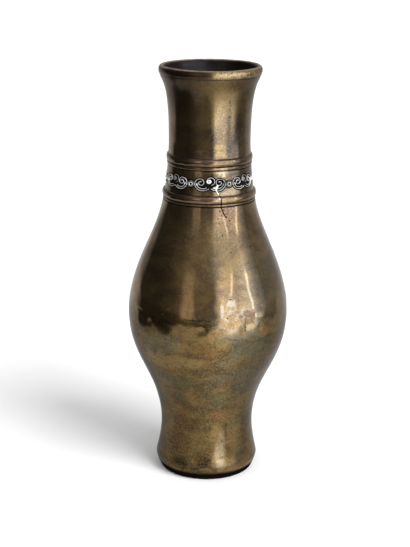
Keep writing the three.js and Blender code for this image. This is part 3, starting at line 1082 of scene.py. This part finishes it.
# Bends a flat wire round the collar, mirrored for a right-hand piece
def wrapWire(piece, turn, mirror, chance):
    lean = chance.gauss(0, wire["lean"])
    lift = chance.gauss(0, wire["lift"] * mm)
    middle = (wire["proud"] - wire["height"] / 2) * mm
    for vertex in piece.data.vertices:
        x = vertex.co.x * mirror + lean * vertex.co.y
        z = inlayZ + vertex.co.y * motifs["squash"]
        angle = x / inlayRadius + turn
        radius = sleeveRadius(z) + middle + lift + vertex.co.z
        vertex.co = (radius * math.sin(angle), -radius * math.cos(angle), z)
    if mirror < 0:
        piece.data.flip_normals()


# The eye itself, a ring hammered nearly shut, joined to the wire of its hood
def addDisc(hood):
    across, up = eye["discRadii"]
    steps = eye["discSteps"]
    path = []
    for i in range(steps):
        turn = 2 * math.pi * i / steps
        path.append(eye["centre"] + Vector((across * math.cos(turn), up * math.sin(turn))) * (mm / pitch))
    radii = [2 * eye["discHalf"] / wire["width"]] * steps
    disc = drawWire("eyeDisc", path, radii, True, eye["discFlatten"])
    selectOnly(hood, disc)
    bpy.ops.object.join()


def circlePath(radius, steps):
    return [polar(spacer["centre"], radius, 360 * i / steps) for i in range(steps)]


# Each kind of wire: its path, its thickness along it, whether it closes and which way round it goes
def wireKinds():
    scrollPath = [scrollPoint(scroll["sweep"] * share) for share in shares(scroll["steps"])]
    swelling = [smoothStep(share, *scroll["dropSpan"]) for share in shares(scroll["steps"])]
    scrollRadii = [1 + scroll["drop"] * swell for swell in swelling]
    span = accent["to"] - accent["from"]
    accentPath, accentRadii = [], []
    for share in shares(accent["steps"]):
        accentPath.append(scrollPoint(accent["from"] + span * share, accent["inset"]))
        intoDrop = min(max((share - 1 + accent["drop"]) / accent["drop"], 0), 1)
        swell = accent["swell"] * pitch * math.sin(math.pi * intoDrop)
        accentRadii.append(1 + swell / (wire["width"] * mm / 2))
    eyePath = [eyePoint(eye["sweep"] * share) for share in shares(eye["steps"])]
    ringPath = circlePath(spacer["ring"], spacer["ringSteps"])
    corePath = circlePath(spacer["core"], spacer["coreSteps"])
    return {
        "scroll_left": (scrollPath, scrollRadii, False, 1),
        "scroll_right": (scrollPath, scrollRadii, False, -1),
        "accent_left": (accentPath, accentRadii, False, 1),
        "accent_right": (accentPath, accentRadii, False, -1),
        "eye_curl": (eyePath, [1] * len(eyePath), False, 1),
        "spacer_ring": (ringPath, [1] * len(ringPath), True, 1),
        "spacer_core": (corePath, [spacer["coreSwell"]] * len(corePath), True, 1),
    }


def makeWires():
    chance = random.Random(wire["seed"])
    for node, (path, radii, closed, mirror) in wireKinds().items():
        pattern = drawWire(node + "Flat", path, radii, closed)
        if node == "eye_curl":
            addDisc(pattern)
        pattern.data.materials.append(dullSilver if node == "spacer_ring" else wornSilver)
        for i in range(motifs["count"]):
            selectOnly(pattern)
            bpy.ops.object.duplicate()
            piece = bpy.context.object
            piece.name = f"silver_{node}_{i + 1}"
            if node == "eye_curl" and i + 1 != motifs["front"]:  # the other eyes get the darker silver as painted shade
                piece.data.materials[0] = dullSilver
            turn = math.radians(motifs["turn"] + 360 * i / motifs["count"])
            wrapWire(piece, turn, mirror, chance)
            settle(piece, "silver", f"{node}_{i + 1}")
        bpy.data.objects.remove(pattern)


makeWires()
print("silver wires laid")

# Solder of an old repair, run over the inlay and down to the crack: turn, height and radius
solder = {
    "lobe": [
        (4.4, 186.0, 0.25), (6.5, 186.0, 0.55), (8.6, 186.0, 0.85), (10.2, 186.7, 0.75), (11.5, 187.9, 0.3),
    ],
    "run": [
        (8.8, 185.6, 0.7), (9.2, 184.4, 0.32), (10.2, 183.4, 0.3), (11.8, 182.3, 0.5), (12.0, 181.9, 0.35),
    ],
    "steps": 6,  # points from one knot to the next
    "flatten": 0.5,
    "blob": {"turn": 12.1, "height": 179.9, "radius": 28.45, "size": (0.95, 0.6, 0.75)},
    "lumps": {"size": 0.9, "depth": 0.35, "octaves": 2},
    "seed": 3,
}


def makeSolder():
    pieces = []
    for name in ("lobe", "run"):
        knots = solder[name]
        path, radii = [], []
        for first, last in zip(knots, knots[1:]):
            for i in range(solder["steps"]):
                knot = Vector(first).lerp(Vector(last), i / solder["steps"])
                height = (knot.y * mm - inlayZ) / motifs["squash"]
                path.append(Vector((math.radians(knot.x) * inlayRadius, height)) / pitch)
                radii.append(2 * knot.z / wire["width"])
        piece = drawWire(name, path, radii, False, solder["flatten"])
        wrapWire(piece, 0, 1, random.Random(solder["seed"]))
        pieces.append(piece)
    blob = solder["blob"]
    turn = math.radians(blob["turn"])
    out = blob["radius"]
    place = Vector((math.sin(turn) * out, -math.cos(turn) * out, blob["height"])) * mm
    deselect()
    bpy.ops.mesh.primitive_uv_sphere_add(
        segments=24, ring_count=12, radius=mm, location=place, rotation=(0, 0, turn),
    )
    bpy.ops.transform.resize(value=blob["size"])
    bpy.ops.object.transform_apply(location=True, rotation=True, scale=True)
    pieces.append(bpy.context.object)
    selectOnly(*pieces)
    bpy.ops.object.join()
    piece = bpy.context.object
    piece.name = "solderRepair"
    addWaves(piece, solder["lumps"])
    bpy.ops.object.shade_smooth()
    piece.data.materials.clear()
    piece.data.materials.append(oldSolder)
    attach(piece, "root")


makeSolder()
print("solder run")

# Camera at the photograph's place
view = {
    "place": Vector((0, -0.74867, 0.34695)),
    "pitch": 16.469,
    "yaw": 0.130,
    "roll": 0.617,
    "focalPixels": 1256.26,
    "frameHeight": 547,
    "sensor": 36,
    "shiftPixels": (-0.5, 0.5),
    "clipEnd": 50,
}


def makeCamera():
    bpy.ops.object.camera_add(location=view["place"])
    camera = bpy.context.object
    camera.name = "photoCamera"
    turnZ = Matrix.Rotation(math.radians(view["yaw"]), 4, "Z")
    tip = Matrix.Rotation(math.radians(90 - view["pitch"]), 4, "X")
    roll = Matrix.Rotation(math.radians(view["roll"]), 4, "Z")
    camera.rotation_euler = (turnZ @ tip @ roll).to_euler()
    camera.data.sensor_width = view["sensor"]
    camera.data.lens = view["sensor"] * view["focalPixels"] / view["frameHeight"]
    shifts = (shift / view["frameHeight"] for shift in view["shiftPixels"])
    camera.data.shift_x, camera.data.shift_y = shifts
    camera.data.clip_end = view["clipEnd"]
    bpy.context.scene.camera = camera


# Floor that the camera sees, and a table top that only reflections see. Round the vase, by degrees:
# how bright the table top looks, and how far out its dark surroundings begin, in metres
table = {
    "radius": 0.52,
    "sweep": 9.0,
    "drop": 0.2,  # of the floor below the table top, in millimetres
    "pale": (0.9, 0.9, 0.9),
    "roughness": 0.9,
    "mirrored": [
        (-180, 0.36), (-124, 0.36), (-112, 0.42), (-70, 0.42), (-40, 0.5), (-15, 0.58), (6, 0.84),
        (32, 0.84), (55, 0.58), (90, 0.42), (124, 0.37), (180, 0.36),
    ],
    "edge": [
        (-180, 0.52), (-118, 0.52), (-111, 0.31), (-100, 0.32), (-91, 0.343), (-85, 0.385), (-78, 0.337),
        (-70, 0.31), (-62, 0.313), (-55, 0.367), (-47, 0.47), (-40, 0.52), (-18, 0.52), (-14, 0.43),
        (-8, 0.366), (-3, 0.42), (2, 0.52), (180, 0.52),
    ],
    "edgeBlur": 0.006,
    "beyond": 0.03,
    "fibre": 0.985,  # the floor's darker fibres, as a share of its pale
    "glow": 1.6,  # light of the window on the table's right-hand end
    "glowReach": (0.27, 0.52),
    "glowFrom": (4, 18),
    "glowTo": (64, 82),
}


def addFloor(name, radius, height, material):
    deselect()
    bpy.ops.mesh.primitive_circle_add(vertices=96, radius=radius, fill_type="NGON", location=(0, 0, height))
    bpy.ops.object.transform_apply(location=True)
    floor = bpy.context.object
    floor.name = name
    floor.data.materials.append(material)
    return floor


def makeFloor():
    material, graph, place = newMaterial("paleFloor")
    fibre = tuple(table["fibre"] * channel for channel in table["pale"])
    colour = place.noise(240, 3, 0.5).lay(table["pale"], fibre)
    setSurface(graph, {"Base Color": colour, "Roughness": table["roughness"], "Specular IOR Level": 0.0})
    floor = addFloor("floorSweep", table["sweep"], -table["drop"] * mm, material)
    floor.visible_glossy = False
    material, graph, place = newMaterial("mirroredTable")
    turn = place.degreesRound()
    reach = place.node("ShaderNodeVectorMath", {"operation": "LENGTH"}, {0: place}, 1)
    past = (reach - turn.byDegrees(table["edge"])).step(-table["edgeBlur"], table["edgeBlur"])
    colour = past.lay(turn.byDegrees(table["mirrored"]), (table["beyond"],) * 3)
    glow = reach.step(*table["glowReach"]) * turn.step(*table["glowFrom"]) * turn.fade(*table["glowTo"])
    setSurface(graph, {
        "Base Color": colour,
        "Roughness": table["roughness"],
        "Specular IOR Level": 0.0,
        "Emission Color": glow.lay((0, 0, 0), (1, 1, 1)),
        "Emission Strength": table["glow"],
    })
    mirrored = addFloor("tableTop", table["radius"], 0, material)
    mirrored.visible_camera = False
    mirrored.visible_diffuse = False
    mirrored.visible_shadow = False


# Soft lamps for the table, kept out of the bronze's reflections
lamps = {
    "overhead": {"towards": (0.0, 0.1, -1.0), "spread": 100, "strength": 1.2},
    "side": {"towards": (-0.75, 0.68, -0.78), "spread": 36, "strength": 3.2},
}


def makeLamps():
    for name, lamp in lamps.items():
        bpy.ops.object.light_add(type="SUN", location=(0, 0, 2))
        light = bpy.context.object
        light.name = name + "Lamp"
        light.data.angle = math.radians(lamp["spread"])
        light.data.energy = lamp["strength"]
        light.rotation_euler = Vector(lamp["towards"]).to_track_quat("-Z", "Y").to_euler()
        light.visible_glossy = False


# What the bronze mirrors, in four bands from low to above: degrees from the front towards the right,
# and the brightness there
surroundings = {
    "low": [
        (-180, 0.55), (-116, 0.55), (-106, 0.06), (-60, 0.08), (-40, 0.16), (-20, 0.3), (2, 0.34),
        (9, 1.2), (14, 3.2), (20, 3.9), (40, 3.5), (46, 2.2), (52, 2.0), (60, 2.3), (66, 2.1), (71, 1.2),
        (77, 0.42), (84, 0.2), (92, 0.2), (112, 0.28), (121, 0.5), (180, 0.55),
    ],
    "below": [
        (-180, 0.55), (-126, 0.5), (-117, 0.06), (-60, 0.08), (-40, 0.16), (-20, 0.3), (-4, 0.42),
        (8, 0.46), (14, 2.4), (20, 3.4), (44, 3.2), (48, 2.7), (62, 2.5), (66, 2.7), (82, 2.3), (90, 0.4),
        (112, 0.3), (121, 0.5), (180, 0.55),
    ],
    "level": [
        (-180, 0.41), (-150, 0.30), (-131, 0.26), (-121, 0.06), (-75, 0.1), (-52, 0.2), (-42, 0.32),
        (-35, 0.95), (-24, 1.05), (-18, 0.4), (0, 0.46), (8, 0.5), (14, 2.3), (20, 3.7), (40, 3.5),
        (45, 2.6), (50, 3.0), (66, 3.0), (80, 1.1), (92, 0.42), (112, 0.42), (122, 0.43), (180, 0.41),
    ],
    "above": [
        (-180, 0.46), (-152, 0.34), (-131, 0.32), (-114, 0.12), (-73, 0.16), (-54, 0.28), (-37, 0.44),
        (-21, 0.54), (-3, 0.72), (6, 0.95), (12, 1.45), (27, 1.75), (44, 1.5), (62, 1.4), (74, 0.95),
        (88, 0.65), (105, 0.65), (125, 0.55), (150, 0.53), (180, 0.46),
    ],
    "strips": [
        {"middle": (36.0, 17.4), "lean": 0.75, "half": 3.0, "low": (12, 16), "high": (22, 26), "glow": 3.2},
        {"middle": (67.3, 12.0), "lean": -0.08, "half": 3.6, "low": (-2, 2), "high": (18, 22), "glow": 3.6},
    ],
    "joins": {"below": (-13, -9), "level": (-6, 0), "above": (12, 32)},  # elevations where a band begins
    "ceilingFrom": (40, 65),
    "ceiling": 0.8,
    "fill": 0.34,
    "windowTint": (0.94, 1.0, 1.15),
    "roomTint": (1.0, 0.97, 0.92),
    "windowFrom": 4,
    "windowTo": 92,
}


def makeSurroundings():
    around = surroundings
    world = bpy.data.worlds.new("studio")
    bpy.context.scene.world = world
    world.use_nodes = True
    world.node_tree.nodes.clear()
    graph = Signal(world.node_tree)
    ray = graph.node("ShaderNodeTexCoord", {}, {}, "Generated")
    azimuth = ray.degreesRound()
    elevation = graph.maths("ARCSINE", ray.part("Z")) * (180 / math.pi)

    def blend(amount, first, second):
        return first * (1 - amount) + second * amount

    glow = azimuth.byDegrees(around["low"])
    for name, span in around["joins"].items():
        glow = blend(elevation.step(*span), glow, azimuth.byDegrees(around[name]))
    glow = blend(elevation.step(*around["ceilingFrom"]), glow, around["ceiling"])
    for strip in around["strips"]:
        across, up = strip["middle"]
        middle = (elevation - up) * strip["lean"] + across
        away = graph.maths("ABSOLUTE", azimuth - middle) / strip["half"]
        ends = elevation.step(*strip["low"]) * elevation.fade(*strip["high"])
        glow = glow + away.fade(0, 1) * ends * strip["glow"]
    window = (azimuth > around["windowFrom"]) * (1 - (azimuth > around["windowTo"]))
    tint = window.lay(around["roomTint"], around["windowTint"])
    room = graph.node("ShaderNodeBackground", {}, {"Color": tint, "Strength": glow})
    paper = graph.node("ShaderNodeBackground", {}, {"Color": (1, 1, 1, 1), "Strength": 1.0})
    fill = graph.node("ShaderNodeBackground", {}, {"Color": (1, 1, 1, 1), "Strength": around["fill"]})
    seen = graph.node("ShaderNodeLightPath", {}, {}, "Is Camera Ray")
    scattered = graph.node("ShaderNodeLightPath", {}, {}, "Is Diffuse Ray")
    mixed = graph.node("ShaderNodeMixShader", {}, {0: scattered, 1: room, 2: fill})
    mixed = graph.node("ShaderNodeMixShader", {}, {0: seen, 1: mixed, 2: paper})
    graph.node("ShaderNodeOutputWorld", {}, {"Surface": mixed})


makeCamera()
makeFloor()
makeLamps()
makeSurroundings()
bpy.context.scene.view_settings.view_transform = "Standard"
print("camera, floor and light set")
